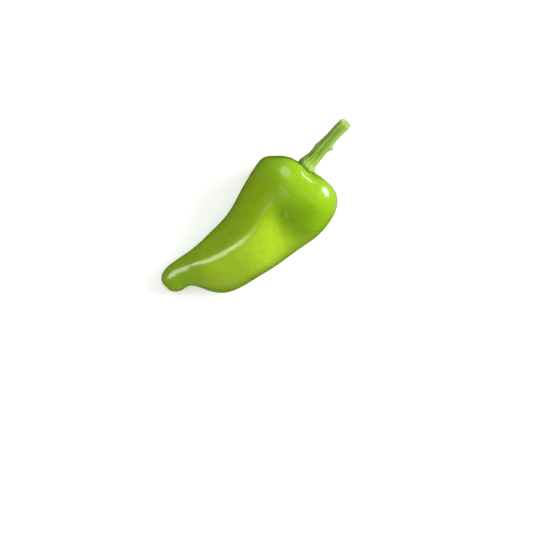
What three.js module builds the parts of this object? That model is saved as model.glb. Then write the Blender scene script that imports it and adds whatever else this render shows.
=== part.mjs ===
// Chili pepper, mild green kind, lying on its side: the pod, and the stem with its calyx.
// Millimetres, +Z up. The shapes are drawn with x running from the blossom tip to the crown.
// At the end the whole is moved so that its origin is under the middle of its bounding box.
import * as THREE from "three";

// Pod, by stations along it: x, place of its middle to the left, half width, half height,
// and height of its middle over the surface that it lies on
const POD_STATIONS = [
  [0, 0.7, 7.4, 7.0, 6.9],
  [8, 0.9, 7.6, 7.4, 7.1],
  [14, -0.2, 8.4, 8.5, 8.2],
  [20, -2.6, 10.4, 10.1, 9.8],
  [27, -5.7, 13.5, 12.3, 12.1],
  [38, -8.8, 16.4, 14.3, 14.2],
  [54, -10.0, 19.1, 17.0, 17.2],
  [70, -8.2, 22.6, 20.0, 19.9],
  [84, -5.2, 24.2, 22.0, 21.8],
  [92, -3.2, 24.0, 22.2, 23.2],
  [100, -0.7, 24.3, 22.2, 24.9],
];

// Ribs, lobes and furrows of the pod, each by stations along it: x, angle, rise, spread.
// Angles are in degrees, seen from the tip: 0 right, 90 top, 180 left, 270 bottom.
const RELIEF = {
  topRib: [
    [0, 92, 0.0, 30],
    [10, 94, 0.8, 26],
    [26, 96, 2.2, 26],
    [46, 98, 2.4, 26],
    [60, 100, 0.6, 30],
    [72, 108, -0.4, 30],
    [86, 120, 0.9, 33],
    [102, 124, 3.2, 33],
  ],
  crest: [
    [4, 125, 0.0, 14],
    [12, 119, 0.5, 14],
    [22, 107, 0.7, 14],
    [34, 102, 1.0, 14],
    [46, 101, 1.3, 14],
    [57, 98, 1.6, 14],
    [66, 97, 1.6, 14],
    [76, 98, 0.0, 14],
  ],
  rightFace: [
    [10, 60, 0.0, 30],
    [30, 58, 1.9, 30],
    [50, 58, 2.4, 30],
    [62, 58, -1.1, 30],
    [76, 58, 0.0, 30],
  ],
  chin: [
    [6, 350, 0.0, 34],
    [16, 350, -0.3, 34],
    [26, 350, 2.8, 34],
    [38, 350, 1.2, 34],
    [54, 350, 0.0, 34],
  ],
  rightLobe: [
    [40, 38, 0.0, 30],
    [56, 38, 0.0, 30],
    [66, 38, -0.4, 30],
    [78, 38, 2.3, 32],
    [88, 38, 3.3, 32],
    [102, 36, 1.9, 33],
  ],
  rightFlank: [
    [50, 4, 0.0, 24],
    [60, 4, 0.4, 24],
    [70, 4, 1.2, 24],
    [80, 4, 0.4, 24],
    [92, 4, -0.2, 24],
    [102, 4, -0.2, 24],
  ],
  lowerRightLobe: [
    [0, 300, 0.0, 30],
    [14, 304, 0.3, 28],
    [30, 310, 1.8, 28],
    [52, 308, 2.0, 28],
    [72, 302, 1.8, 28],
    [102, 298, 1.5, 28],
  ],
  lowerLeftLobe: [
    [0, 224, 0.0, 30],
    [12, 224, 0.3, 28],
    [28, 222, 1.0, 28],
    [52, 228, 1.6, 28],
    [72, 236, 2.0, 28],
    [102, 240, 2.0, 28],
  ],
  frontFurrow: [
    [40, 61, 0.0, 16],
    [56, 61, 0.0, 16],
    [64, 61, -0.6, 15],
    [71, 61, -1.8, 15],
    [80, 61, -1.5, 15],
    [92, 60, 1.0, 15],
    [102, 60, 1.0, 15],
  ],
  upperShoulder: [
    [70, 85, 0.0, 26],
    [82, 85, 0.0, 26],
    [92, 85, 0.4, 26],
    [102, 85, 1.3, 26],
  ],
  underFurrow: [
    [0, 266, 0.0, 18],
    [30, 268, -0.6, 18],
    [60, 269, -1.2, 18],
    [102, 268, -1.8, 18],
  ],
  leftFurrow: [
    [40, 176, 0.0, 18],
    [60, 176, 0.0, 18],
    [80, 178, -0.3, 18],
    [102, 178, -0.3, 16],
  ],
  rightFurrow: [
    [40, 340, 0.0, 18],
    [60, 340, 0.0, 18],
    [80, 341, -0.6, 18],
    [102, 341, -1.0, 16],
  ],
};

// Valley that runs from the dent on top down to the right side, along the foot of the right lobe
const VALLEY = { from: [70.6, 77], to: [65.3, 20], depthFrom: 4.8, depthTo: 1.8, width: 7.4, girth: 20 };

// Blossom tip and shoulder: where they start, how long they are, and how square they turn
const TIP = { x: 0.5, length: 9.0, power: 2.4 };
const SHOULDER = { x: 85.5, length: 12.6, power: 2.85 };

// Height of the lobes over the crown, by angle, spread and rise
const CROWN_LOBES = [
  [12, 34, 1.0],
  [44, 26, 2.4],
  [72, 15, 0.3],
  [98, 24, 1.8],
  [128, 30, 3.2],
  [198, 26, -1.2],
  [218, 18, 1.2],
];

// Seat of the calyx on the crown, and the recess in it that the root of the stem fills
const SEAT_RADIUS = 6.8;
const SEAT_DISH = 0.5;
const SEAT_SHIFT = 1.4;
const RECESS_RADIUS = 4.0;
const RECESS_DEPTH = 3.0;
const GAP = 0.3;

// Stem, by stations along it from the seat: distance, place to the left, place up, radius
const STEM_STATIONS = [
  [0, 0.0, 0.0, 5.2],
  [1.4, 0.0, 0.0, 5.0],
  [3.4, 0.0, 0.0, 4.4],
  [6.6, -0.8, -0.1, 3.7],
  [11, -1.6, -0.2, 3.5],
  [16, -2.5, -0.3, 3.4],
  [20, -3.3, -0.4, 3.1],
  [25, -4.2, -0.6, 3.0],
  [28.5, -5.0, -0.8, 3.1],
  [31.4, -5.8, -1.0, 3.1],
];
const STEM_RIBS = 6;
const STEM_RIB_RISE = 0.22;
const STEM_RIB_FADE = 3;
const STEM_KNOBS = [
  { along: 17.4, angle: 5, rise: 1.1, length: 1.5, spread: 26 },
  { along: 13.6, angle: 176, rise: 0.4, length: 1.4, spread: 24 },
];
const CUT_SLANT = 22;
const CUT_REACH = 5;
const CUT_BEVEL = 0.9;
const CUT_DISH = 0.3;

// Calyx: rim round the foot of the stem, with short blunt teeth
const CALYX_RADIUS = 5.2;
const CALYX_RIM = 0.9;
const CALYX_TEETH = 5;
const CALYX_TOOTH = 0.55;
const CALYX_TOOTH_ANGLE = 50;
const CALYX_NOTCH = -0.4;

// Fineness of the two solids
const POD_SIDES = 56;
const STEM_SIDES = 36;
const TIP_RINGS = 8;
const BODY_RINGS = 34;
const SHOULDER_RINGS = 12;
const SEAT_RINGS = 3;
const STEM_RINGS = 24;

const radians = THREE.MathUtils.degToRad;
const FULL_TURN = 360;

// Natural cubic spline through points (x, value), level with its end values outside them
class Spline {
  constructor(xs, values) {
    const last = xs.length - 1;
    const bend = new Array(xs.length).fill(0);
    const carry = new Array(xs.length).fill(0);
    for (let i = 1; i < last; i++) {
      const share = (xs[i] - xs[i - 1]) / (xs[i + 1] - xs[i - 1]);
      const divisor = share * bend[i - 1] + 2;
      const slopeAfter = (values[i + 1] - values[i]) / (xs[i + 1] - xs[i]);
      const slopeBefore = (values[i] - values[i - 1]) / (xs[i] - xs[i - 1]);
      const turn = (6 * (slopeAfter - slopeBefore)) / (xs[i + 1] - xs[i - 1]);
      bend[i] = (share - 1) / divisor;
      carry[i] = (turn - share * carry[i - 1]) / divisor;
    }
    bend[last] = 0;
    for (let i = last - 1; i >= 0; i--) {
      bend[i] = bend[i] * bend[i + 1] + carry[i];
    }
    Object.assign(this, { xs, values, bend });
  }

  at(x) {
    const { xs, values, bend } = this;
    const inside = THREE.MathUtils.clamp(x, xs[0], xs[xs.length - 1]);
    let i = 0;
    while (i < xs.length - 2 && inside > xs[i + 1]) i++;
    const step = xs[i + 1] - xs[i];
    const a = (xs[i + 1] - inside) / step;
    const b = 1 - a;
    const curve = ((a ** 3 - a) * bend[i] + (b ** 3 - b) * bend[i + 1]) * (step ** 2 / 6);
    return a * values[i] + b * values[i + 1] + curve;
  }
}

// One spline for each column after the first
function columns(rows) {
  const xs = rows.map((row) => row[0]);
  return rows[0].slice(1).map((_, column) => new Spline(xs, rows.map((row) => row[column + 1])));
}

// Difference of two angles, from -180 to 180
function turnBetween(angle, other) {
  return THREE.MathUtils.euclideanModulo(angle - other + FULL_TURN / 2, FULL_TURN) - FULL_TURN / 2;
}

function bell(distance, width) {
  return Math.exp(-((distance / width) ** 2));
}

// Quarter of a superellipse from (0, 0) to (1, 1): how far along, and how wide, at a share of it
function roundedEnd(share, power) {
  const turn = (share * Math.PI) / 2;
  const along = 1 - Math.max(Math.cos(turn), 0) ** (2 / power);
  const wide = Math.sin(turn) ** (2 / power);
  return { along, wide };
}

const [podSide, podHalfWidth, podHalfHeight, podHeight] = columns(POD_STATIONS);
const relief = Object.values(RELIEF).map(columns);

function valleyDepth(x, angle) {
  const perDegree = radians(1) * VALLEY.girth;
  const px = x - VALLEY.from[0];
  const py = turnBetween(angle, VALLEY.from[1]) * perDegree;
  const vx = VALLEY.to[0] - VALLEY.from[0];
  const vy = (VALLEY.to[1] - VALLEY.from[1]) * perDegree;
  const along = THREE.MathUtils.clamp((px * vx + py * vy) / (vx * vx + vy * vy), 0, 1);
  const distance = Math.hypot(px - along * vx, py - along * vy);
  const depth = THREE.MathUtils.lerp(VALLEY.depthFrom, VALLEY.depthTo, along);
  return depth * bell(distance, VALLEY.width);
}

// Distance of the pod's skin from its middle
function podRadius(x, angle) {
  const across = Math.cos(radians(angle)) / podHalfWidth.at(x);
  const upright = Math.sin(radians(angle)) / podHalfHeight.at(x);
  let radius = 1 / Math.hypot(across, upright);
  for (const [place, rise, spread] of relief) {
    radius += rise.at(x) * bell(turnBetween(angle, place.at(x)), spread.at(x));
  }
  return radius - valleyDepth(x, angle);
}

function podMiddle(x) {
  return new THREE.Vector3(x, podSide.at(x), podHeight.at(x));
}

// Middle of the pod at a station, with the directions ahead, left and up of its section
function podFrame(x) {
  const reach = 0.01;
  const ahead = podMiddle(x + reach).sub(podMiddle(x - reach)).normalize();
  const left = new THREE.Vector3(-ahead.y, ahead.x, 0).normalize();
  const up = new THREE.Vector3().crossVectors(ahead, left);
  return { middle: podMiddle(x), ahead, left, up };
}

// Point of a section: out from its middle at an angle, and ahead of it
function sectionPoint(frame, radius, angle, along) {
  return frame.middle
    .clone()
    .addScaledVector(frame.left, -Math.cos(radians(angle)) * radius)
    .addScaledVector(frame.up, Math.sin(radians(angle)) * radius)
    .addScaledVector(frame.ahead, along);
}

// The seat is a shallow dish round the end of the pod's middle line
const seatShare = SEAT_RADIUS / podHalfWidth.at(SHOULDER.x);
const seatX = SHOULDER.x + SHOULDER.length * (1 - seatShare ** SHOULDER.power) ** (1 / SHOULDER.power);
const seatFrame = podFrame(seatX);
seatFrame.middle.addScaledVector(seatFrame.left, SEAT_SHIFT);

function seatHeight(radius) {
  return -SEAT_DISH * (1 - Math.min(radius / SEAT_RADIUS, 1) ** 2);
}

function crownRise(angle) {
  let lift = 0;
  for (const [place, spread, rise] of CROWN_LOBES) {
    lift += rise * bell(turnBetween(angle, place), spread);
  }
  return lift;
}

function seatRing(radius, along) {
  return (angle) => sectionPoint(seatFrame, radius, angle, along);
}

// Rings of the pod from its tip to the bottom of its recess, each a function of the angle
function podRings() {
  const rings = [];
  for (let i = 0; i <= TIP_RINGS; i++) {
    const { along, wide } = roundedEnd(i / TIP_RINGS, TIP.power);
    const x = TIP.x + TIP.length * along;
    rings.push((angle) => sectionPoint(podFrame(x), podRadius(x, angle) * wide, angle, 0));
  }
  const bodyStart = TIP.x + TIP.length;
  for (let i = 1; i < BODY_RINGS; i++) {
    const x = THREE.MathUtils.lerp(bodyStart, SHOULDER.x, i / BODY_RINGS);
    rings.push((angle) => sectionPoint(podFrame(x), podRadius(x, angle), angle, 0));
  }
  const seatTurn = Math.acos(seatShare ** (SHOULDER.power / 2));
  for (let i = 0; i <= SHOULDER_RINGS; i++) {
    const turn = (i / SHOULDER_RINGS) * seatTurn;
    const share = Math.cos(turn) ** (2 / SHOULDER.power);
    const x = SHOULDER.x + SHOULDER.length * Math.sin(turn) ** (2 / SHOULDER.power);
    const outward = (share - seatShare) / (1 - seatShare);
    const frame = podFrame(x);
    frame.middle.addScaledVector(frame.left, SEAT_SHIFT * (1 - outward) ** 2);
    rings.push((angle) => {
      const radius = THREE.MathUtils.lerp(SEAT_RADIUS, podRadius(x, angle), outward);
      const lift = crownRise(angle) * 4 * outward * (1 - outward);
      return sectionPoint(frame, radius, angle, lift);
    });
  }
  for (let i = 1; i <= SEAT_RINGS; i++) {
    const radius = THREE.MathUtils.lerp(SEAT_RADIUS, RECESS_RADIUS, i / SEAT_RINGS);
    rings.push(seatRing(radius, seatHeight(radius)));
  }
  const recessFloor = seatHeight(RECESS_RADIUS) - RECESS_DEPTH;
  rings.push(seatRing(RECESS_RADIUS, recessFloor), seatRing(0, recessFloor));
  return rings;
}

const [stemSide, stemUp, stemRadius] = columns(STEM_STATIONS);
const stemLength = STEM_STATIONS.at(-1)[0];

function stemMiddle(along) {
  return sectionPoint(seatFrame, 0, 0, along)
    .addScaledVector(seatFrame.left, stemSide.at(along))
    .addScaledVector(seatFrame.up, stemUp.at(along));
}

function stemFrame(along) {
  const reach = 0.01;
  const ahead = stemMiddle(along + reach).sub(stemMiddle(along - reach)).normalize();
  const left = new THREE.Vector3().crossVectors(seatFrame.up, ahead).normalize();
  const up = new THREE.Vector3().crossVectors(ahead, left);
  return { middle: stemMiddle(along), ahead, left, up };
}

// Ribs fade in above the calyx, and two knobs stand where small leaves were
function stemSkin(along, angle) {
  const ribs = STEM_RIB_RISE * Math.cos(radians(STEM_RIBS * angle)) * Math.min(along / STEM_RIB_FADE, 1);
  let radius = stemRadius.at(along) + ribs;
  for (const knob of STEM_KNOBS) {
    const around = bell(turnBetween(angle, knob.angle), knob.spread);
    radius += knob.rise * around * bell(along - knob.along, knob.length);
  }
  return radius;
}

// The cut faces up and ahead: the top of the stem ends before its underside
function cutSetback(along, angle) {
  const share = THREE.MathUtils.smoothstep(along, stemLength - CUT_REACH, stemLength);
  return -Math.tan(radians(CUT_SLANT)) * stemRadius.at(along) * Math.sin(radians(angle)) * share;
}

function calyxEdge(angle) {
  const tooth = Math.max(Math.cos(radians(CALYX_TEETH * (angle - CALYX_TOOTH_ANGLE))), CALYX_NOTCH);
  return CALYX_RADIUS + CALYX_TOOTH * tooth;
}

// Rings of the stem from the bottom of its root, out under the calyx, and up to the cut
function stemRings() {
  const rootRadius = RECESS_RADIUS - GAP;
  const rootFloor = seatHeight(RECESS_RADIUS) - RECESS_DEPTH + GAP;
  const underside = (radius) => seatHeight(radius) + GAP;
  const calyxRing = (height) => (angle) => {
    const radius = calyxEdge(angle);
    return sectionPoint(seatFrame, radius, angle, underside(radius) + height);
  };
  const rings = [
    seatRing(0, rootFloor),
    seatRing(rootRadius, rootFloor),
    seatRing(rootRadius, underside(rootRadius)),
    calyxRing(0),
    calyxRing(CALYX_RIM / 2),
    (angle) => {
      const radius = calyxEdge(angle) - CALYX_RIM / 3;
      return sectionPoint(seatFrame, radius, angle, underside(radius) + CALYX_RIM);
    },
  ];
  const stemStart = CALYX_RIM + 2 * GAP;
  for (let i = 0; i <= STEM_RINGS; i++) {
    const along = THREE.MathUtils.lerp(stemStart, stemLength, i / STEM_RINGS);
    const frame = stemFrame(along);
    rings.push((angle) => sectionPoint(frame, stemSkin(along, angle), angle, cutSetback(along, angle)));
  }
  const end = stemFrame(stemLength);
  const cutRing = (shrink, along) => (angle) => {
    const radius = stemSkin(stemLength, angle) * shrink;
    return sectionPoint(end, radius, angle, along + cutSetback(stemLength, angle) * shrink);
  };
  const bevelShrink = 1 - CUT_BEVEL / stemRadius.at(stemLength);
  rings.push(cutRing(bevelShrink, CUT_BEVEL));
  rings.push(cutRing(bevelShrink / 2, CUT_BEVEL - CUT_DISH));
  rings.push(cutRing(0, CUT_BEVEL - CUT_DISH));
  return rings;
}

// Closed solid from rings: a lathe of the right fineness, its vertices moved to the rings
function latheSolid(rings, sides) {
  const last = rings.length - 1;
  const profile = rings.map((_, i) => new THREE.Vector2(i === 0 || i === last ? 0 : 1, i));
  const geometry = new THREE.LatheGeometry(profile, sides);
  const position = geometry.attributes.position;
  for (let k = 0; k < position.count; k++) {
    const side = Math.floor(k / rings.length) % sides;
    const point = rings[k % rings.length]((-FULL_TURN * side) / sides);
    position.setXYZ(k, point.x, point.y, Math.max(point.z, 0));
  }
  geometry.computeVertexNormals();
  return geometry;
}

function piece(name, geometry, color, roughness) {
  const mesh = new THREE.Mesh(geometry, new THREE.MeshStandardMaterial({ color, roughness, metalness: 0 }));
  mesh.name = name;
  return mesh;
}

const pepper = new THREE.Group();
pepper.name = "chili_pepper";
pepper.add(piece("pod", latheSolid(podRings(), POD_SIDES), 0x96c81e, 0.22));
pepper.add(piece("stem_and_calyx", latheSolid(stemRings(), STEM_SIDES), 0x86a846, 0.5));

// Origin under the middle of the bounding box
const bounds = new THREE.Box3().setFromObject(pepper);
const centre = bounds.getCenter(new THREE.Vector3());
pepper.position.set(-centre.x, -centre.y, -bounds.min.z);

export default pepper;
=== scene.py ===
# Dresses the chili pepper: fine meshes of the same form in place of the faceted pod and stem,
# with waxy skin and green fibre, on a pale floor under soft studio light. The pepper lies on its
# side and the camera looks straight down on it, as the photograph is taken to do.
from math import cos, pi, radians, sin

import bpy
import numpy as np
from mathutils import Matrix, Vector, noise


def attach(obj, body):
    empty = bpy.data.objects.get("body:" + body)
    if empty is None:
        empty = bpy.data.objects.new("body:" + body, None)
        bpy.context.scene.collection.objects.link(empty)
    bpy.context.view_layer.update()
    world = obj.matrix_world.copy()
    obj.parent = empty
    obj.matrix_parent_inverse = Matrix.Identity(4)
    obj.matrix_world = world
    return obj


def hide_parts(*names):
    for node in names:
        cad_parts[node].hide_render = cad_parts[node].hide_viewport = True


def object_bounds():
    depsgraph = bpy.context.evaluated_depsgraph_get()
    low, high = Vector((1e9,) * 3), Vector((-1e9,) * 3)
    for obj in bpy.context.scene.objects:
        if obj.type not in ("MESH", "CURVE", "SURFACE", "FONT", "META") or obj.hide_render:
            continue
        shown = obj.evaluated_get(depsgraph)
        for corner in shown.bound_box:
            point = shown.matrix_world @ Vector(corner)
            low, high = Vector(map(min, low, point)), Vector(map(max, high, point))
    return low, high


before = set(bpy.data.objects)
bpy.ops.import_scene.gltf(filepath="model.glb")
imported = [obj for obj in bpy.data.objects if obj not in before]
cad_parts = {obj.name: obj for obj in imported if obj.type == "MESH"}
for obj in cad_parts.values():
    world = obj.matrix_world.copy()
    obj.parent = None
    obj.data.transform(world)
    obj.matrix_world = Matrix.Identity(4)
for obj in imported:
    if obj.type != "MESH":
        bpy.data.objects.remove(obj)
CAD_LOW, CAD_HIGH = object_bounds()

MM = 0.001
FULL_TURN = 360
DIRECTION_STEP = 0.01
TINY = 1e-9

# The form is the CAD's own, in millimetres, drawn with x from the blossom tip to the crown.
# Pod, by stations: x, place of its middle to the left, half width, half height, height of middle
POD_STATIONS = [
    (0, 0.7, 7.4, 7.0, 6.9),
    (8, 0.9, 7.6, 7.4, 7.1),
    (14, -0.2, 8.4, 8.5, 8.2),
    (20, -2.6, 10.4, 10.1, 9.8),
    (27, -5.7, 13.5, 12.3, 12.1),
    (38, -8.8, 16.4, 14.3, 14.2),
    (54, -10.0, 19.1, 17.0, 17.2),
    (70, -8.2, 22.6, 20.0, 19.9),
    (84, -5.2, 24.2, 22.0, 21.8),
    (92, -3.2, 24.0, 22.2, 23.2),
    (100, -0.7, 24.3, 22.2, 24.9),
]

# Ribs, lobes and furrows of the pod, each by stations along it: x, angle, rise, spread.
# Angles are in degrees, seen from the tip: 0 right, 90 top, 180 left, 270 bottom.
RELIEF = {
    "top rib": [
        (0, 92, 0.0, 30), (10, 94, 0.8, 26), (26, 96, 2.2, 26), (46, 98, 2.4, 26),
        (60, 100, 0.6, 30), (72, 108, -0.4, 30), (86, 120, 0.9, 33), (102, 124, 3.2, 33),
    ],
    "crest": [
        (4, 125, 0.0, 14), (12, 119, 0.5, 14), (22, 107, 0.7, 14), (34, 102, 1.0, 14),
        (46, 101, 1.3, 14), (57, 98, 1.6, 14), (66, 97, 1.6, 14), (76, 98, 0.0, 14),
    ],
    "right face": [
        (10, 60, 0.0, 30), (30, 58, 1.9, 30), (50, 58, 2.4, 30), (62, 58, -1.1, 30),
        (76, 58, 0.0, 30),
    ],
    "chin": [
        (6, 350, 0.0, 34), (16, 350, -0.3, 34), (26, 350, 2.8, 34), (38, 350, 1.2, 34),
        (54, 350, 0.0, 34),
    ],
    "right lobe": [
        (40, 38, 0.0, 30), (56, 38, 0.0, 30), (66, 38, -0.4, 30), (78, 38, 2.3, 32),
        (88, 38, 3.3, 32), (102, 36, 1.9, 33),
    ],
    "lower right lobe": [
        (0, 300, 0.0, 30), (14, 304, 0.3, 28), (30, 310, 1.8, 28), (52, 308, 2.0, 28),
        (72, 302, 1.8, 28), (102, 298, 1.5, 28),
    ],
    "lower left lobe": [
        (0, 224, 0.0, 30), (12, 224, 0.3, 28), (28, 222, 1.0, 28), (52, 228, 1.6, 28),
        (72, 236, 2.0, 28), (102, 240, 2.0, 28),
    ],
    "right flank": [
        (50, 4, 0.0, 24), (60, 4, 0.4, 24), (70, 4, 1.2, 24), (80, 4, 0.4, 24), (92, 4, -0.2, 24),
        (102, 4, -0.2, 24),
    ],
    "front furrow": [
        (40, 61, 0.0, 16), (56, 61, 0.0, 16), (64, 61, -0.6, 15), (71, 61, -1.8, 15),
        (80, 61, -1.5, 15), (92, 60, 1.0, 15), (102, 60, 1.0, 15),
    ],
    "upper shoulder": [
        (70, 85, 0.0, 26), (82, 85, 0.0, 26), (92, 85, 0.4, 26), (102, 85, 1.3, 26),
    ],
    "under furrow": [
        (0, 266, 0.0, 18), (30, 268, -0.6, 18), (60, 269, -1.2, 18), (102, 268, -1.8, 18),
    ],
    "left furrow": [
        (40, 176, 0.0, 18), (60, 176, 0.0, 18), (80, 178, -0.3, 18), (102, 178, -0.3, 16),
    ],
    "right furrow": [
        (40, 340, 0.0, 18), (60, 340, 0.0, 18), (80, 341, -0.6, 18), (102, 341, -1.0, 16),
    ],
}
VALLEY = {"start": (70.6, 77), "end": (65.3, 20), "depths": (4.8, 1.8), "width": 7.4, "girth": 20}
TIP = {"x": 0.5, "length": 9.0, "power": 2.4}
SHOULDER = {"x": 85.5, "length": 12.6, "power": 2.85}
CROWN_LOBES = [
    (12, 34, 1.0), (44, 26, 2.4), (72, 15, 0.3), (98, 24, 1.8), (128, 30, 3.2),
    (198, 26, -1.2), (218, 18, 1.2),
]
SEAT_RADIUS = 6.8
SEAT_DISH = 0.5
SEAT_SHIFT = 1.4
RECESS_RADIUS = 4.0
RECESS_DEPTH = 3.0
GAP = 0.3

# Stem, by stations along it from the seat: distance, place to the left, place up, radius
STEM_STATIONS = [
    (0, 0.0, 0.0, 5.2),
    (1.4, 0.0, 0.0, 5.0),
    (3.4, 0.0, 0.0, 4.4),
    (6.6, -0.8, -0.1, 3.7),
    (11, -1.6, -0.2, 3.5),
    (16, -2.5, -0.3, 3.4),
    (20, -3.3, -0.4, 3.1),
    (25, -4.2, -0.6, 3.0),
    (28.5, -5.0, -0.8, 3.1),
    (31.4, -5.8, -1.0, 3.1),
]
STEM_RIBS = 6
STEM_RIB_RISE = 0.22
STEM_RIB_FADE = 3
STEM_KNOBS = [
    {"along": 17.4, "angle": 5, "rise": 1.1, "length": 1.5, "spread": 26},
    {"along": 13.6, "angle": 176, "rise": 0.4, "length": 1.4, "spread": 24},
]
CUT_SLANT = 22
CUT_REACH = 5
CUT_BEVEL = 0.9
CUT_DISH = 0.3
CALYX_RADIUS = 5.2
CALYX_RIM = 0.9
CALYX_TEETH = 5
CALYX_TOOTH = 0.55
CALYX_TOOTH_ANGLE = 50
CALYX_NOTCH = -0.4
RIM_ROUNDING = 0.3

# Fine relief of the skin, in millimetres. The streaks are a noise drawn out along the pod: the
# pace is how far it moves on in a millimetre, and the girth is its radius round the pod.
WAVE_RISE = 0.16
WAVE_SIZE = 13.0
RIPPLE_RISE = 0.05
RIPPLE_SIZE = 4.5
RIPPLE_OFFSET = 7.3
STREAK_RISE = 0.05
STREAK_SIZE = 0.55
STREAK_OFFSET = 3.1
STREAK_PACE = 0.05
STREAK_GIRTH = 3.2
CALM_ROUND_SEAT = 6.0
CALM_AT_TIP = 5.0

# Puckers of the skin, like spokes round the calyx
PUCKERS = 17
PUCKER_RISE = 0.22
PUCKER_PLACE = 1.2
PUCKER_WIDTH = 3.0
PUCKER_START = (0.6, 2.2)
PUCKER_WANDER = 1.5
WANDER_SIZE = 6.0
WANDER_OFFSET = 1.7

# The healed scar in the valley: strokes from one station and angle of the skin to another
SCAR_STROKES = [
    ((76.4, 81.5), (75.2, 75.5)),
    ((75.2, 75.5), (74.3, 70.5)),
    ((74.9, 74.0), (75.3, 70.5)),
]
SCAR_WIDTH = 0.34
SCAR_RISE = 0.12

# The blossom's mark: a dent at the tip, a small point in the dent, and a stain
BLOSSOM_RADIUS = 1.5
BLOSSOM_DENT = 0.45
BLOSSOM_POINT_RADIUS = 0.5
BLOSSOM_POINT_SHARE = 0.8
BLOSSOM_STAIN_RADIUS = 1.2

# Fine relief of the stem, drawn out along it as the skin's streaks are
FIBRE_RISE = 0.10
FIBRE_SIZE = 0.9
FINE_FIBRE_RISE = 0.05
FINE_FIBRE_SIZE = 0.35
FINE_FIBRE_OFFSET = 5.0
FIBRE_PACE = 0.06
FIBRE_GIRTH = 3.4
FIBRE_START = (0.5, 3.0)

# Fineness of the two meshes
POD_SIDES = 256
POD_TIP_RINGS = 36
POD_BODY_RINGS = 150
POD_SHOULDER_RINGS = 60
POD_SEAT_RINGS = 12
STEM_SIDES = 160
STEM_RINGS = 260
CALYX_RINGS = 6
BEVEL_RINGS = 5
CUT_RINGS = 16

# The photograph's frame: its size, the pepper's tip in it, and how the pepper lies in it
PHOTO_PIXELS = 533
TIP_PIXEL = (165.0, 289.0)
MM_PER_PIXEL = 0.53
ROLL = 40.67
CAMERA_RISE = 1.4
FOCUS_HEIGHT = 0.020
SENSOR = 36.0
FAR_CLIP = 20

# Colours, linear
SKIN_YELLOW = (0.445, 0.655, 0.022, 1)
SKIN_GREEN = (0.266, 0.525, 0.003, 1)
SKIN_DEEP = (0.12, 0.29, 0.002, 1)
# Painted sheen, olive, for the flank away from the key light, and painted shade for the low flanks
PAINTED_SHEEN_OLIVE = (0.315, 0.505, 0.003, 1)
SKIN_SHADE = (0.165, 0.30, 0.002, 1)
SKIN_PALE = (0.56, 0.74, 0.02, 1)
SCAR_COLOUR = (0.52, 0.70, 0.14, 1)
BLOSSOM_COLOUR = (0.30, 0.22, 0.06, 1)
STEM_GREEN = (0.25, 0.43, 0.045, 1)
STEM_DARK = (0.12, 0.25, 0.018, 1)
STEM_PALE = (0.48, 0.68, 0.09, 1)
CUT_PALE = (0.50, 0.58, 0.17, 1)
CUT_PITH = (0.40, 0.40, 0.10, 1)

# Where the skin's colours lie. Station 1 is 100 mm from the tip. Across is 1 on the right of the
# pod and -1 on its left, and upright is 1 on top. A range is low, high and the share at each.
STATION_UNIT = 100
# Yellow that is partly painted light, on the side that faces the key light, right and up; the base share
# is the skin's own yellow
LIT_SIDE_ACROSS = 0.55
LIT_SIDE_UPRIGHT = 0.835
LIT_SIDE_TURN = (0.25, 0.95)
LIT_SIDE_GAIN = 0.75
YELLOW_BASE = 0.2
FACE_START = (0.08, 0.32)
FACE_END = (0.76, 0.62)
CROWN_START = (0.86, 0.97, 0.0, 0.35)
# Painted sheen on the left flank, and painted shade low on both flanks
OLIVE_SHEEN_ACROSS = (0.1, -0.35, 0.0, 0.8)
OLIVE_SHEEN_END = (0.90, 0.78)
SHADE_UPRIGHT = (0.75, 0.1, 0.0, 0.45)
SHADE_END = (0.78, 0.58)
SHADE_ACROSS = (0.2, -0.2)
SEAT_PALE_WIDTH = 3.5
SEAT_PALE_SHARE = 0.35
SCAR_SHARE = 0.8
BLOSSOM_RANGE = (0.35, 0.9, 0.0, 0.85)

# Noises of the skin's colour: scale, detail and roughness, then how much or in what range they tell
PATCHES = (1.6, 2.0)
PATCH_PACE = 1.2
PATCH_SWAY = 0.5
BLOTCHES = (95.0, 3.0, 0.6)
BLOTCH_SWAY = 0.56
MOTTLE = (420.0, 3.0, 0.7)
MOTTLE_RANGE = (0.52, 0.36, 0.0, 0.16)
STREAKS = (14.0, 3.0, 0.6)
STREAKS_PACE = 0.8
PALE_STREAKS = (0.56, 0.80, 0.0, 0.16)
DEEP_STREAKS = (0.44, 0.20, 0.0, 0.22)
SPECK_SCALE = 620.0
SPECK_RANGE = (0.20, 0.05)
SCATTER = (160.0, 1.0)
SCATTER_RANGE = (0.52, 0.66, 0.0, 0.35)

# Finish of the skin. A bump is its depth in metres and its strength.
SMEARS = (45.0, 2.0)
SMEAR_ROUGHNESS = (0.3, 0.7, 0.24, 0.32)
PEEL = (900.0, 2.0)
PEEL_BUMP = (0.00002, 0.5)
DIMPLES = (260.0, 2.0)
DIMPLE_BUMP = (0.00006, 0.5)
SKIN_IOR = 1.46
SKIN_COAT = 0.55
SKIN_COAT_ROUGHNESS = 0.15
SKIN_GLOW = {"weight": 0.18, "radius": (1.0, 1.2, 0.1), "scale": 0.003}

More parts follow.
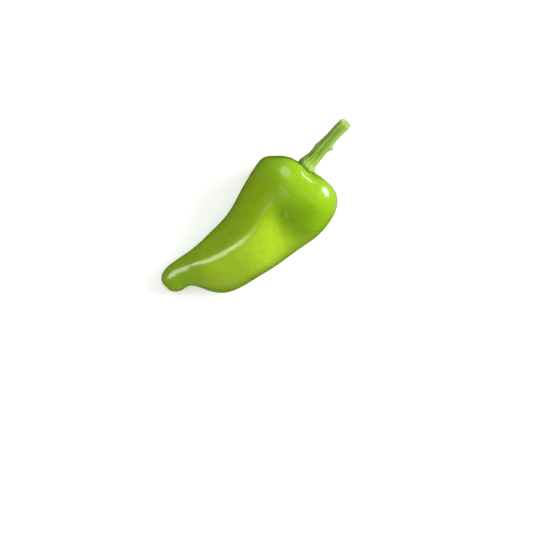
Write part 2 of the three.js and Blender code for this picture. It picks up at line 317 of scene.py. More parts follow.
# Colour and finish of the stem, in the same terms, with the station counted from the seat. Cut is
# 0 on the stem's sides and 1 in the middle of its cut end.
FIBRES = (3.2, 3.0, 0.6)
FIBRES_PACE = 0.8
FIBRE_RANGE = (0.40, 0.60)
FINE_FIBRES = (9.0, 3.0, 0.6)
PALE_FIBRES = (0.50, 0.62, 0.0, 0.75)
# Painted light: the stem is paler on its right, the side that faces the key light
STEM_LIT_SIDE = (0.1, 0.9, 0.0, 0.35)
STEM_FOOT = (0.07, 0.03, 0.0, 0.45)
# Painted shade, dark, where the stem's foot meets the crown
CREASE_SHADE_LEAN = 0.016
CREASE_SHADE_RANGE = (0.026, 0.019, 0.0, 0.85)
BEVEL_CUT = 0.02
CUT_FACE = (0.0, 0.10)
PITH_RANGE = (0.35, 0.75)
GRAIN = (1400.0, 2.0)
GRAIN_RANGE = (0.4, 0.7, 0.0, 0.35)
STEM_ROUGHNESS = (0.3, 0.7, 0.42, 0.60)
FIBRE_BUMP = (0.00018, 0.6)
GRAIN_BUMP = (0.00004, 0.5)
STEM_GLOW = {"weight": 0.12, "radius": (1.0, 1.2, 0.2), "scale": 0.0015}

# Floor and world
FLOOR_SIZE = 6
FLOOR_DROP = 0.0001
FLOOR_COLOUR = (0.86, 0.86, 0.85, 1)
FLOOR_ROUGHNESS = 0.9
FLOOR_SPECULAR = 0.1
FLOOR_GLOW = 0.42
WHITE = (1, 1, 1, 1)
WORLD_STRENGTH = 0.25

# Lights. A direction is as the camera sees it: right, up the picture and towards the camera. A
# spot is a place in the same terms, in millimetres from the pepper's tip and over the floor.
# Distances and sizes are in metres. Two windows light the pepper and show in no gloss.
WINDOWS = {
    "key": {"direction": (0.78, 0.22, 0.58), "distance": 0.9, "size": (0.5, 0.5), "radiance": 8.4},
    "overhead": {"direction": (0, 0.1, 1), "distance": 1.1, "size": (0.9, 0.9), "radiance": 2.0},
}

# All the others show in gloss alone. A card shines on its spot, which mirrors it to the camera.
HARD_LIGHT = {
    "spot": (85, 52, 40),
    "direction": (0.907, 0.416, -0.06),
    "distance": 0.045,
    "size": (0.029, 0.0125),
    "radiance": 26,
}
SPARK = {
    "spot": (73, 61, 42),
    "direction": (0.72, 0.68, -0.08),
    "distance": 0.025,
    "size": (0.0035, 0.006),
    "radiance": 12,
}
SOFT_BOX = {
    "spot": (62.5, 62.5, 43.4),
    "direction": (-0.18, 0.735, 0.63),
    "distance": 0.8,
    "radiance": 1.9,
}
SOFT_BOX_SIZE = (0.52, 0.72)
SOFT_BOX_SHARES = (1.0, 0.7, 0.4)

# Strips hang over the ridge, each between two spots, and shine down and to the right
RIDGE_STRIPS = (
    {"ends": ((-62, 10, 26), (-47, 11, 37)), "width": 0.030, "radiance": 5.8},
    {"ends": ((-47, 11, 37), (6, 10, 77)), "width": 0.033, "radiance": 4.8},
    {"ends": ((16.5, 17, 55), (35, 19.6, 62)), "width": 0.019, "radiance": 3.9},
    {"ends": ((24, 23, 92), (31, 28, 99)), "width": 0.044, "radiance": 1.2},
)
RIDGE_STRIP_LEAN = (-0.6, 0, 0)

# A faint card lies on the floor beside the right rim and shines up
RIM_CARD_SPOT = (112, 52, 1)
RIM_CARD_SIZE = (0.04, 0.04)
RIM_CARD_RADIANCE = 0.3


class Spline:
    """Natural cubic spline, level with its end values outside its points."""

    def __init__(self, xs, values):
        self.xs = np.asarray(xs, float)
        self.values = np.asarray(values, float)
        steps = np.diff(self.xs)
        slopes = np.diff(self.values) / steps
        system = np.eye(len(self.xs))
        turns = np.zeros(len(self.xs))
        for i in range(1, len(self.xs) - 1):
            system[i, i - 1:i + 2] = steps[i - 1], 2 * (steps[i - 1] + steps[i]), steps[i]
            turns[i] = 6 * (slopes[i] - slopes[i - 1])
        self.bend = np.linalg.solve(system, turns)

    def __call__(self, x):
        x = np.clip(np.asarray(x, float), self.xs[0], self.xs[-1])
        i = np.clip(np.searchsorted(self.xs, x) - 1, 0, len(self.xs) - 2)
        step = self.xs[i + 1] - self.xs[i]
        a = (self.xs[i + 1] - x) / step
        b = 1 - a
        curve = ((a**3 - a) * self.bend[i] + (b**3 - b) * self.bend[i + 1]) * step**2 / 6
        return a * self.values[i] + b * self.values[i + 1] + curve


def columns(rows):
    """One spline for each column after the first."""
    table = np.array(rows, float)
    return [Spline(table[:, 0], table[:, column]) for column in range(1, table.shape[1])]


def turn_between(angle, other):
    return (angle - other + FULL_TURN / 2) % FULL_TURN - FULL_TURN / 2


def bell(distance, width):
    return np.exp(-((distance / width) ** 2))


def smoothstep(x, low, high):
    t = np.clip((x - low) / (high - low), 0, 1)
    return t * t * (3 - 2 * t)


def unit(vectors):
    return vectors / np.linalg.norm(vectors, axis=-1, keepdims=True)


pod_side, pod_half_width, pod_half_height, pod_height = columns(POD_STATIONS)
relief = [columns(rows) for rows in RELIEF.values()]
stem_side, stem_up, stem_radius = columns(STEM_STATIONS)
stem_length = STEM_STATIONS[-1][0]


def from_stroke(x, angle, start, end, girth):
    """Distance from a stroke between two stations and angles of the skin, and share along it."""
    per_degree = radians(1) * girth
    px = x - start[0]
    py = turn_between(angle, start[1]) * per_degree
    vx = end[0] - start[0]
    vy = (end[1] - start[1]) * per_degree
    along = np.clip((px * vx + py * vy) / (vx * vx + vy * vy), 0, 1)
    return np.hypot(px - along * vx, py - along * vy), along


def valley_depth(x, angle):
    distance, along = from_stroke(x, angle, VALLEY["start"], VALLEY["end"], VALLEY["girth"])
    first, last = VALLEY["depths"]
    return (first + (last - first) * along) * bell(distance, VALLEY["width"])


def pod_radius(x, angle):
    """Distance of the pod's skin from its middle."""
    a = np.radians(angle)
    radius = 1 / np.hypot(np.cos(a) / pod_half_width(x), np.sin(a) / pod_half_height(x))
    for place, rise, spread in relief:
        radius = radius + rise(x) * bell(turn_between(angle, place(x)), spread(x))
    return radius - valley_depth(x, angle)


def pod_middle(x):
    return np.stack([x, pod_side(x), pod_height(x)], axis=-1)


def pod_frame(x):
    """Middle of the pod at stations, with the directions ahead, left and up of its sections."""
    ahead = unit(pod_middle(x + DIRECTION_STEP) - pod_middle(x - DIRECTION_STEP))
    left = unit(np.stack([-ahead[..., 1], ahead[..., 0], 0 * ahead[..., 0]], axis=-1))
    return pod_middle(x), ahead, left, np.cross(ahead, left)


def section_point(section, radius, angle, along):
    """Points out from the middle of a section at an angle, and ahead of it."""
    middle, ahead, left, up = section
    a = np.radians(angle)
    return (
        middle
        - (np.cos(a) * radius)[..., None] * left
        + (np.sin(a) * radius)[..., None] * up
        + np.asarray(along)[..., None] * ahead
    )


# The seat is a shallow dish round the end of the pod's middle line
seat_share = SEAT_RADIUS / float(pod_half_width(SHOULDER["x"]))
seat_drop = (1 - seat_share ** SHOULDER["power"]) ** (1 / SHOULDER["power"])
seat_x = SHOULDER["x"] + SHOULDER["length"] * seat_drop
seat_middle, seat_ahead, seat_left, seat_up = pod_frame(np.array(seat_x))
seat_middle = seat_middle + SEAT_SHIFT * seat_left
seat_section = (seat_middle, seat_ahead, seat_left, seat_up)


def seat_height(radius):
    return -SEAT_DISH * (1 - np.minimum(radius / SEAT_RADIUS, 1) ** 2)


def crown_rise(angle):
    return sum(rise * bell(turn_between(angle, place), spread) for place, spread, rise in CROWN_LOBES)


def pod_rings():
    """The pod's rings: station, core radius, share of the way out to the skin, and ahead."""
    rings = []
    for i in range(POD_TIP_RINGS + 1):
        turn = i / POD_TIP_RINGS * np.pi / 2
        along = 1 - max(np.cos(turn), 0) ** (2 / TIP["power"])
        rings.append((TIP["x"] + TIP["length"] * along, 0, np.sin(turn) ** (2 / TIP["power"]), 0))
    body_start = TIP["x"] + TIP["length"]
    for x in np.linspace(body_start, SHOULDER["x"], POD_BODY_RINGS + 1)[1:-1]:
        rings.append((x, 0, 1, 0))
    seat_turn = np.arccos(seat_share ** (SHOULDER["power"] / 2))
    for turn in np.linspace(0, seat_turn, POD_SHOULDER_RINGS + 1):
        share = np.cos(turn) ** (2 / SHOULDER["power"])
        x = SHOULDER["x"] + SHOULDER["length"] * np.sin(turn) ** (2 / SHOULDER["power"])
        rings.append((x, SEAT_RADIUS, (share - seat_share) / (1 - seat_share), 0))
    for radius in np.linspace(SEAT_RADIUS, RECESS_RADIUS, POD_SEAT_RINGS + 1)[1:]:
        rings.append((seat_x, radius, 0, seat_height(radius)))
    floor = seat_height(RECESS_RADIUS) - RECESS_DEPTH
    rings += [(seat_x, RECESS_RADIUS, 0, floor), (seat_x, 0, 0, floor)]
    return np.array(rings, float)


def pod_grid():
    """Points of the pod's skin, ring by ring, with the station and angle of each."""
    x, core, outward, ahead = (column[:, None] for column in pod_rings().T)
    angle = np.arange(POD_SIDES)[None, :] * FULL_TURN / POD_SIDES
    x, angle = np.broadcast_arrays(x, angle)
    radius = core + (pod_radius(x, angle) - core) * outward
    on_shoulder = core > 0

    # The crown's lobes stand highest halfway from the seat to the shoulder's edge
    lift = np.where(on_shoulder, crown_rise(angle) * 4 * outward * (1 - outward), 0)

    # The seat lies a little to the left, and the shoulder eases over to it
    section = list(pod_frame(x))
    shift = np.where(on_shoulder | (outward == 0) & (x == seat_x), SEAT_SHIFT * (1 - outward) ** 2, 0)
    section[0] = section[0] + shift[..., None] * section[2]
    return section_point(section, radius, angle, lift + ahead), x, angle


def grid_normals(points):
    """Outward normals of a closed grid of rings."""
    around = np.roll(points, -1, axis=1) - np.roll(points, 1, axis=1)
    along = np.gradient(points, axis=0)
    normals = np.cross(along, around)
    length = np.linalg.norm(normals, axis=-1, keepdims=True)
    return normals / np.maximum(length, TINY)


def noise_at(points, scale, offset=0.0):
    """Smooth noise from about -1 to 1 at each point, with features of the given size."""
    flat = points.reshape(-1, points.shape[-1]) / scale + offset
    values = [noise.noise(Vector(point)) for point in flat]
    return np.array(values).reshape(points.shape[:-1])


def lathe_mesh(name, points, attributes):
    """Closed mesh from rings of points. The first and last rings are single points."""
    rings, sides, _ = points.shape
    body = points[1:-1]
    vertices = np.concatenate([points[:1, 0], body.reshape(-1, 3), points[-1:, 0]])
    last = len(vertices) - 1
    index = 1 + np.arange((rings - 2) * sides).reshape(rings - 2, sides)
    after = np.roll(index, -1, axis=1)
    quads = np.stack([index[:-1], index[1:], after[1:], after[:-1]], axis=-1).reshape(-1, 4)
    faces = quads.tolist()
    faces += [(0, int(a), int(b)) for a, b in zip(index[0], after[0])]
    faces += [(last, int(b), int(a)) for a, b in zip(index[-1], after[-1])]
    mesh = bpy.data.meshes.new(name)
    mesh.from_pydata((vertices * MM).tolist(), [], faces)
    mesh.update()
    for key, values in attributes.items():
        flat = np.concatenate([values[:1, 0], values[1:-1].reshape(-1), values[-1:, 0]])
        layer = mesh.attributes.new(key, "FLOAT", "POINT")
        layer.data.foreach_set("value", flat.astype(np.float32))
    mesh.polygons.foreach_set("use_smooth", [True] * len(mesh.polygons))
    obj = bpy.data.objects.new(name, mesh)
    bpy.context.scene.collection.objects.link(obj)
    return obj


def scar_at(x, angle):
    """The scar's share of each point of the skin, 1 on the middle of a stroke."""
    strokes = []
    for start, end in SCAR_STROKES:
        distance, _ = from_stroke(x, angle, start, end, float(pod_radius(*start)))
        strokes.append(bell(distance, SCAR_WIDTH))
    return np.max(strokes, axis=0)


def drawn_out(along, angle, pace, girth):
    """Places for a noise that is drawn out along the pod or the stem."""
    a = np.radians(angle)
    return np.stack([along * pace, girth * np.cos(a), girth * np.sin(a)], axis=-1)


def skin_relief(points, x, angle, from_seat):
    """Rise of the skin at each point: waves, ripples, streaks, and puckers round the calyx."""
    waves = WAVE_RISE * noise_at(points, WAVE_SIZE)
    ripples = RIPPLE_RISE * noise_at(points, RIPPLE_SIZE, RIPPLE_OFFSET)
    streak_place = drawn_out(x, angle, STREAK_PACE, STREAK_GIRTH)
    streaks = STREAK_RISE * noise_at(streak_place, STREAK_SIZE, STREAK_OFFSET)
    calm = smoothstep(from_seat, SEAT_RADIUS, SEAT_RADIUS + CALM_ROUND_SEAT)
    calm = calm * smoothstep(x, TIP["x"], TIP["x"] + CALM_AT_TIP)
    wander = PUCKER_WANDER * noise_at(points, WANDER_SIZE, WANDER_OFFSET)
    spokes = np.cos(PUCKERS * np.radians(angle) + wander)
    ring = bell(from_seat - SEAT_RADIUS - PUCKER_PLACE, PUCKER_WIDTH)
    clear = smoothstep(from_seat - CALYX_RADIUS, *PUCKER_START)
    return calm * (waves + ripples + streaks) + PUCKER_RISE * spokes * ring * clear


def make_pod():
    points, x, angle = pod_grid()
    normals = grid_normals(points)
    on_skin = np.where(x < seat_x, 1.0, 0.0)
    from_seat = np.linalg.norm(points - seat_middle, axis=-1)
    from_tip = np.linalg.norm(points - points[0, 0], axis=-1)
    scar = scar_at(x, angle)
    dent = bell(from_tip, BLOSSOM_RADIUS) - BLOSSOM_POINT_SHARE * bell(from_tip, BLOSSOM_POINT_RADIUS)
    rise = on_skin * skin_relief(points, x, angle, from_seat) + SCAR_RISE * scar - BLOSSOM_DENT * dent
    points = points + rise[..., None] * normals
    points[0] = points[1].mean(axis=0)

    # Nothing reaches below the floor
    points[..., 2] = np.maximum(points[..., 2], 0)
    attributes = {
        "station": x / STATION_UNIT,
        "across": np.cos(np.radians(angle)),
        "upright": np.sin(np.radians(angle)),
        "scar": scar,
        "blossom": bell(from_tip, BLOSSOM_STAIN_RADIUS),
        "seat": bell(np.maximum(from_seat - CALYX_RADIUS, 0), SEAT_PALE_WIDTH),
    }
    return lathe_mesh("pod_skin", points, attributes)


def stem_middle(along):
    return (
        seat_middle
        + along[..., None] * seat_ahead
        + stem_side(along)[..., None] * seat_left
        + stem_up(along)[..., None] * seat_up
    )


def stem_section(along):
    ahead = unit(stem_middle(along + DIRECTION_STEP) - stem_middle(along - DIRECTION_STEP))
    left = unit(np.cross(seat_up, ahead))
    return stem_middle(along), ahead, left, np.cross(ahead, left)


def stem_skin(along, angle):
    """Radius of the stem: ribs fade in above the calyx, and two knobs stand on it."""
    ribs = STEM_RIB_RISE * np.cos(np.radians(STEM_RIBS * angle)) * np.minimum(along / STEM_RIB_FADE, 1)
    radius = stem_radius(along) + ribs
    for knob in STEM_KNOBS:
        around = bell(turn_between(angle, knob["angle"]), knob["spread"])
        radius = radius + knob["rise"] * around * bell(along - knob["along"], knob["length"])
    return radius


def cut_setback(along, angle):
    """The cut faces up and ahead: the top of the stem ends before its underside."""
    share = smoothstep(along, stem_length - CUT_REACH, stem_length)
    return -np.tan(radians(CUT_SLANT)) * stem_radius(along) * np.sin(np.radians(angle)) * share


def calyx_edge(angle):
    tooth = np.maximum(np.cos(np.radians(CALYX_TEETH * (angle - CALYX_TOOTH_ANGLE))), CALYX_NOTCH)
    return CALYX_RADIUS + CALYX_TOOTH * tooth


def stem_grid():
    """Points of the stem from its root out under the calyx and up to the cut, ring by ring."""
    angle = np.arange(STEM_SIDES) * FULL_TURN / STEM_SIDES
    edge = calyx_edge(angle)
    even = np.ones_like(angle)
    rings = []
    places = []

    def add(section, radius, ahead, along, cut=0.0):
        rings.append(section_point(section, radius, angle, ahead * even))
        places.append((along, cut))

    root_radius = RECESS_RADIUS - GAP
    root_floor = seat_height(RECESS_RADIUS) - RECESS_DEPTH + GAP
    add(seat_section, 0 * even, root_floor, 0)
    add(seat_section, root_radius * even, root_floor, 0)
    for share in np.linspace(0, 1, CALYX_RINGS):
        radius = root_radius + (edge - root_radius) * share
        add(seat_section, radius, seat_height(radius) + GAP, 0)
    for turn in np.linspace(0, np.pi / 2, CALYX_RINGS)[1:]:
        radius = edge - RIM_ROUNDING * (1 - np.cos(turn))
        add(seat_section, radius, seat_height(radius) + GAP + CALYX_RIM * np.sin(turn), 0)
    stem_start = CALYX_RIM + 2 * GAP
    for along in np.linspace(stem_start, stem_length, STEM_RINGS):
        station = np.array(along)
        add(stem_section(station), stem_skin(along, angle), cut_setback(along, angle), along)
    end = stem_section(np.array(float(stem_length)))
    end_skin = stem_skin(stem_length, angle)
    end_setback = cut_setback(stem_length, angle)
    bevel = CUT_BEVEL / float(stem_radius(stem_length))
    for turn in np.linspace(0, np.pi / 2, BEVEL_RINGS)[1:]:
        shrink = 1 - bevel * (1 - np.cos(turn))
        ahead = CUT_BEVEL * np.sin(turn) + end_setback * shrink
        add(end, end_skin * shrink, ahead, stem_length, BEVEL_CUT)
    for share in np.linspace(1, 0, CUT_RINGS + 1)[1:]:
        shrink = (1 - bevel) * share
        dish = CUT_BEVEL - CUT_DISH * (1 - share**4)
        add(end, end_skin * shrink, dish + end_setback * shrink, stem_length, 1 - share)
    points = np.array(rings)
    places = np.array(places)
    along = np.repeat(places[:, :1], STEM_SIDES, axis=1)
    cut = np.repeat(places[:, 1:], STEM_SIDES, axis=1)
    return points, along, cut, np.broadcast_to(angle, along.shape)


def make_stem():
    points, along, cut, angle = stem_grid()
    normals = grid_normals(points)
    fibre_place = drawn_out(along, angle, FIBRE_PACE, FIBRE_GIRTH)
    fibres = FIBRE_RISE * noise_at(fibre_place, FIBRE_SIZE)
    fibres = fibres + FINE_FIBRE_RISE * noise_at(fibre_place, FINE_FIBRE_SIZE, FINE_FIBRE_OFFSET)
    on_stem = smoothstep(along, *FIBRE_START) * np.where(cut > 0, 0, 1)
    points = points + (fibres * on_stem)[..., None] * normals
    attributes = {
        "station": along / STATION_UNIT,
        "across": np.cos(np.radians(angle)),
        "upright": np.sin(np.radians(angle)),
        "cut": cut,
    }
    return lathe_mesh("stem_skin", points, attributes)


def place_on_cad(pieces):
    """Moves the meshes' points from the drawing's frame to the CAD's, and says by how much."""
    corners = np.concatenate([[v.co for v in piece.data.vertices] for piece in pieces])
    drawn_centre = (corners.min(axis=0) + corners.max(axis=0)) / 2
    cad_centre = (np.array(CAD_LOW) + np.array(CAD_HIGH)) / 2
    shift = Vector(cad_centre - drawn_centre)
    shift.z = 0
    for piece in pieces:
        piece.data.transform(Matrix.Translation(shift))
    return shift


class Shader:
    """A Principled material, and short calls that add and link its nodes."""

    def __init__(self, name):
        self.material = bpy.data.materials.new(name)
        self.material.use_nodes = True
        self.nodes = self.material.node_tree.nodes
        self.links = self.material.node_tree.links
        self.surface = self.nodes["Principled BSDF"]

    def plug(self, socket, value):
        if isinstance(value, bpy.types.NodeSocket):
            self.links.new(value, socket)
        else:
            socket.default_value = value

    def attribute(self, name):
        node = self.nodes.new("ShaderNodeAttribute")
        node.attribute_name = name
        return node.outputs["Fac"]

    def math(self, operation, first, second=0.0, third=0.0):
        node = self.nodes.new("ShaderNodeMath")
        node.operation = operation
        for socket, value in zip(node.inputs, (first, second, third)):
            self.plug(socket, value)
        return node.outputs[0]

    def drawn_out(self, station, across, upright, pace):
        """Places for a noise that is drawn out along the pod or the stem."""
        node = self.nodes.new("ShaderNodeCombineXYZ")
        along = self.math("MULTIPLY", station, pace)
        for socket, value in zip(node.inputs, (along, across, upright)):
            self.plug(socket, value)
        return node.outputs[0]

    def sway(self, value, amount):
        """A noise about 0 in place of one half, and this much from end to end."""
        return self.math("MULTIPLY_ADD", value, amount, -amount / 2)

    def noise(self, vector, scale, detail=2.0, roughness=0.5):
        node = self.nodes.new("ShaderNodeTexNoise")
        self.plug(node.inputs["Vector"], vector)
        node.inputs["Scale"].default_value = scale
        node.inputs["Detail"].default_value = detail
        node.inputs["Roughness"].default_value = roughness
        return node.outputs["Fac"]

    def spots(self, vector, scale):
        node = self.nodes.new("ShaderNodeTexVoronoi")
        self.plug(node.inputs["Vector"], vector)
        node.inputs["Scale"].default_value = scale
        return node.outputs["Distance"]

    def spread(self, value, low, high, to_low=0.0, to_high=1.0):
        node = self.nodes.new("ShaderNodeMapRange")
        node.interpolation_type = "SMOOTHSTEP"
        for socket, number in zip(node.inputs, (value, low, high, to_low, to_high)):
            self.plug(socket, number)
        return node.outputs[0]

    def mix(self, share, first, second):
        node = self.nodes.new("ShaderNodeMix")
        node.data_type = "RGBA"
        self.plug(node.inputs["Factor"], share)
        self.plug(node.inputs["A"], first)
        self.plug(node.inputs["B"], second)
        return node.outputs["Result"]

    def bump(self, height, distance, strength, normal=None):
        node = self.nodes.new("ShaderNodeBump")
        node.inputs["Strength"].default_value = strength
        node.inputs["Distance"].default_value = distance
        self.plug(node.inputs["Height"], height)
        if normal is not None:
            self.plug(node.inputs["Normal"], normal)
        return node.outputs[0]

    def place(self):
        node = self.nodes.new("ShaderNodeTexCoord")
        return node.outputs["Object"]

    def glow_within(self, weight, radius, scale):
        self.surface.inputs["Subsurface Weight"].default_value = weight
        self.surface.inputs["Subsurface Radius"].default_value = radius
        self.surface.inputs["Subsurface Scale"].default_value = scale


def skin_colour(s):
    station = s.attribute("station")
    across = s.attribute("across")
    upright = s.attribute("upright")
    place = s.place()

    # Yellow on the face between the tip and the dent, green on the crown, in soft patches. The yellow is
    # partly the skin's own and partly painted light, strongest on the side that faces the key light.
    patches = s.noise(s.drawn_out(station, across, upright, PATCH_PACE), *PATCHES)
    blotches = s.noise(place, *BLOTCHES)
    facing = s.math("MULTIPLY", upright, LIT_SIDE_UPRIGHT)
    facing = s.math("MULTIPLY_ADD", across, LIT_SIDE_ACROSS, facing)
    along_face = s.math("ADD", s.spread(station, *FACE_END), s.spread(station, *CROWN_START))
    along_face = s.math("MULTIPLY", s.spread(station, *FACE_START), along_face)
    yellow_and_painted_light = s.math("MULTIPLY", s.spread(facing, *LIT_SIDE_TURN), along_face)
    yellow_and_painted_light = s.math("MULTIPLY_ADD", yellow_and_painted_light, LIT_SIDE_GAIN, YELLOW_BASE)
    yellow_and_painted_light = s.math("ADD", yellow_and_painted_light, s.sway(patches, PATCH_SWAY))
    yellow_and_painted_light = s.math("ADD", yellow_and_painted_light, s.sway(blotches, BLOTCH_SWAY))
    colour = s.mix(yellow_and_painted_light, SKIN_GREEN, SKIN_YELLOW)

    # Painted sheen and painted shade: olive on the left flank, which faces away from the key light, and
    # deeper low on both flanks where shade falls, except below the right lobe
    left = s.math("MULTIPLY", s.spread(across, *OLIVE_SHEEN_ACROSS), s.spread(station, *OLIVE_SHEEN_END))
    colour = s.mix(left, colour, PAINTED_SHEEN_OLIVE)
    off_lobe = s.math("MAXIMUM", s.spread(station, *SHADE_END), s.spread(across, *SHADE_ACROSS))
    low = s.math("MULTIPLY", s.spread(upright, *SHADE_UPRIGHT), off_lobe)
    colour = s.mix(low, colour, SKIN_SHADE)

    # Fine mottling, lengthwise streaks and small pale specks
    mottle = s.noise(place, *MOTTLE)
    colour = s.mix(s.spread(mottle, *MOTTLE_RANGE), colour, SKIN_DEEP)
    streaks = s.noise(s.drawn_out(station, across, upright, STREAKS_PACE), *STREAKS)
    colour = s.mix(s.spread(streaks, *PALE_STREAKS), colour, SKIN_PALE)
    colour = s.mix(s.spread(streaks, *DEEP_STREAKS), colour, SKIN_DEEP)
    specks = s.spread(s.spots(place, SPECK_SCALE), *SPECK_RANGE)
    scatter = s.spread(s.noise(place, *SCATTER), *SCATTER_RANGE)
    colour = s.mix(s.math("MULTIPLY", specks, scatter), colour, SKIN_PALE)

    # Paler skin round the calyx, the healed scar, and the blossom's mark at the tip
    colour = s.mix(s.math("MULTIPLY", s.attribute("seat"), SEAT_PALE_SHARE), colour, SKIN_PALE)
    colour = s.mix(s.math("MULTIPLY", s.attribute("scar"), SCAR_SHARE), colour, SCAR_COLOUR)
    return s.mix(s.spread(s.attribute("blossom"), *BLOSSOM_RANGE), colour, BLOSSOM_COLOUR)


def skin_material():
    s = Shader("waxy_skin")
    s.plug(s.surface.inputs["Base Color"], skin_colour(s))
    place = s.place()
    smears = s.noise(place, *SMEARS)
    s.plug(s.surface.inputs["Roughness"], s.spread(smears, *SMEAR_ROUGHNESS))
    normal = s.bump(s.noise(place, *PEEL), *PEEL_BUMP)
    normal = s.bump(s.noise(place, *DIMPLES), *DIMPLE_BUMP, normal)
    s.plug(s.surface.inputs["Normal"], normal)
    s.surface.inputs["IOR"].default_value = SKIN_IOR
    s.surface.inputs["Coat Weight"].default_value = SKIN_COAT
    s.surface.inputs["Coat Roughness"].default_value = SKIN_COAT_ROUGHNESS
    s.glow_within(**SKIN_GLOW)
    return s.material


def stem_material():
    s = Shader("stem_fibre")
    station = s.attribute("station")
    across = s.attribute("across")
    cut = s.attribute("cut")
    fibre_place = s.drawn_out(station, across, s.attribute("upright"), FIBRES_PACE)
    fibres = s.noise(fibre_place, *FIBRES)
    fine = s.noise(fibre_place, *FINE_FIBRES)
    grain = s.noise(s.place(), *GRAIN)

    # Green fibres, paler on the right as painted light on the side that faces the key light, paler at
    # the foot, and a painted shade, dark, where the foot meets the crown
    colour = s.mix(s.spread(fibres, *FIBRE_RANGE), STEM_DARK, STEM_GREEN)
    colour = s.mix(s.spread(fine, *PALE_FIBRES), colour, STEM_PALE)
    # Painted light on the stem's right side, which faces the key light
    colour = s.mix(s.spread(across, *STEM_LIT_SIDE), colour, STEM_PALE)
    colour = s.mix(s.spread(station, *STEM_FOOT), colour, STEM_PALE)
    crease_shade = s.math("MULTIPLY_ADD", across, CREASE_SHADE_LEAN, station)
    colour = s.mix(s.spread(crease_shade, *CREASE_SHADE_RANGE), colour, STEM_DARK)

    # The cut face and its pith
    cut_colour = s.mix(s.spread(cut, *PITH_RANGE), CUT_PALE, CUT_PITH)
    cut_colour = s.mix(s.spread(grain, *GRAIN_RANGE), cut_colour, CUT_PALE)
    colour = s.mix(s.spread(cut, *CUT_FACE), colour, cut_colour)

    s.plug(s.surface.inputs["Base Color"], colour)
    s.plug(s.surface.inputs["Roughness"], s.spread(fine, *STEM_ROUGHNESS))
    normal = s.bump(fine, *FIBRE_BUMP)
    s.plug(s.surface.inputs["Normal"], s.bump(grain, *GRAIN_BUMP, normal))
    s.glow_within(**STEM_GLOW)
    return s.material


# Directions as the camera sees them: right, up the picture, and towards the camera
PICTURE_RIGHT = Vector((cos(radians(ROLL)), -sin(radians(ROLL)), 0))
PICTURE_UP = Vector((sin(radians(ROLL)), cos(radians(ROLL)), 0))
SKYWARD = Vector((0, 0, 1))


def in_picture(right, up, toward):
    return PICTURE_RIGHT * right + PICTURE_UP * up + SKYWARD * toward


def over_picture(shift, spot):
    """The place of a spot that is given in millimetres from the pepper's tip."""
    return shift + in_picture(*spot) * MM


def make_camera(shift):
    """Straight above the point of the drawing that lies at the photograph's centre."""
    half = PHOTO_PIXELS / 2
    right = (half - TIP_PIXEL[0]) * MM_PER_PIXEL
    up = (TIP_PIXEL[1] - half) * MM_PER_PIXEL
    aim = (PICTURE_RIGHT * right + PICTURE_UP * up) * MM + shift
    data = bpy.data.cameras.new("camera")
    data.sensor_fit = "HORIZONTAL"
    data.sensor_width = SENSOR
    data.lens = SENSOR * CAMERA_RISE / (PHOTO_PIXELS * MM_PER_PIXEL * MM)
    data.clip_end = FAR_CLIP
    camera = bpy.data.objects.new("camera", data)
    camera.location = aim + SKYWARD * (CAMERA_RISE + FOCUS_HEIGHT)
    camera.rotation_euler = (0, 0, -radians(ROLL))
    bpy.context.scene.collection.objects.link(camera)
    bpy.context.scene.camera = camera


def add_panel(name, place, axes, size, radiance, gloss=True, shape="RECTANGLE"):
    """An area light with its width, its height and its back along three axes.

    It shows in gloss alone, or else in no gloss.
    """
    data = bpy.data.lights.new(name, "AREA")
    data.shape = shape
    data.size, data.size_y = size
    area = data.size * data.size_y * (pi / 4 if shape == "ELLIPSE" else 1)
    data.energy = radiance * pi * area
    light = bpy.data.objects.new(name, data)
    light.matrix_world = Matrix(axes).transposed().to_4x4()
    light.location = place
    light.visible_diffuse = not gloss
    light.visible_glossy = gloss
    light.visible_camera = False
    bpy.context.scene.collection.objects.link(light)


def add_window(name, direction, distance, size, radiance):
    """A soft panel that faces the pod from a direction."""
    away = in_picture(*direction).normalized()
    across = PICTURE_UP.cross(away).normalized()
    add_panel(name, away * distance, (across, away.cross(across), away), size, radiance, gloss=False)


def add_strip(name, shift, ends, width, radiance):
    """A narrow panel close over the ridge, between two spots."""
    first, last = (over_picture(shift, end) for end in ends)
    along = (last - first).normalized()
    across = along.cross(SKYWARD + in_picture(*RIDGE_STRIP_LEAN)).normalized()
    axes = (across, along, across.cross(along))
    add_panel(name, (first + last) / 2, axes, (width, (last - first).length), radiance)


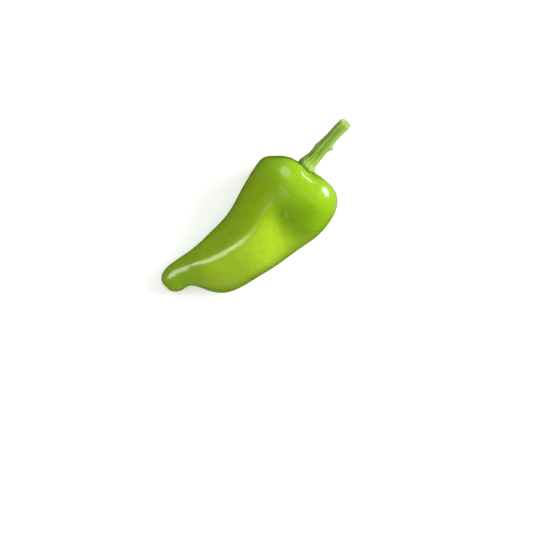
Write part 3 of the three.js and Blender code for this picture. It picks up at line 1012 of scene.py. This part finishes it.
def add_card(name, shift, spot, direction, distance, size, radiance):
    """A round panel that faces a spot from a direction."""
    away = in_picture(*direction).normalized()
    across = SKYWARD.cross(away).normalized()
    place = over_picture(shift, spot) + away * distance
    axes = (across, away.cross(across), away)
    add_panel(name, place, axes, size, radiance, shape="ELLIPSE")


def make_lights(shift):
    for name, window in WINDOWS.items():
        add_window(name, **window)
    add_card("hard light", shift, **HARD_LIGHT)
    for share in SOFT_BOX_SHARES:
        size = [side * share for side in SOFT_BOX_SIZE]
        add_card(f"soft box {share}", shift, size=size, **SOFT_BOX)
    add_card("spark", shift, **SPARK)
    for i, strip in enumerate(RIDGE_STRIPS):
        add_strip(f"ridge strip {i + 1}", shift, **strip)
    rim_axes = (PICTURE_RIGHT, -PICTURE_UP, -SKYWARD)
    add_panel("rim card", over_picture(shift, RIM_CARD_SPOT), rim_axes, RIM_CARD_SIZE, RIM_CARD_RADIANCE)


def make_floor():
    bpy.ops.mesh.primitive_plane_add(size=FLOOR_SIZE, location=(0, 0, -FLOOR_DROP))
    floor = bpy.context.object
    floor.name = "floor"
    floor.visible_glossy = False
    s = Shader("pale_floor")
    s.surface.inputs["Base Color"].default_value = FLOOR_COLOUR
    s.surface.inputs["Roughness"].default_value = FLOOR_ROUGHNESS
    s.surface.inputs["Specular IOR Level"].default_value = FLOOR_SPECULAR
    s.surface.inputs["Emission Color"].default_value = WHITE
    s.surface.inputs["Emission Strength"].default_value = FLOOR_GLOW
    floor.data.materials.append(s.material)


def make_world():
    """A pale world that lights the pepper and shows in no gloss."""
    world = bpy.data.worlds.new("studio")
    world.use_nodes = True
    background = world.node_tree.nodes["Background"]
    background.inputs["Color"].default_value = WHITE
    background.inputs["Strength"].default_value = WORLD_STRENGTH
    world.cycles_visibility.glossy = False
    bpy.context.scene.world = world
    bpy.context.scene.view_settings.view_transform = "Standard"


pod = make_pod()
stem = make_stem()
drawing_shift = place_on_cad([pod, stem])
pod.data.materials.append(skin_material())
stem.data.materials.append(stem_material())
for piece, node, slot in ((pod, "pod", "skin"), (stem, "stem_and_calyx", "stem")):
    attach(piece, "root")
    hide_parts(node)
make_camera(drawing_shift)
make_floor()
make_lights(drawing_shift)
make_world()
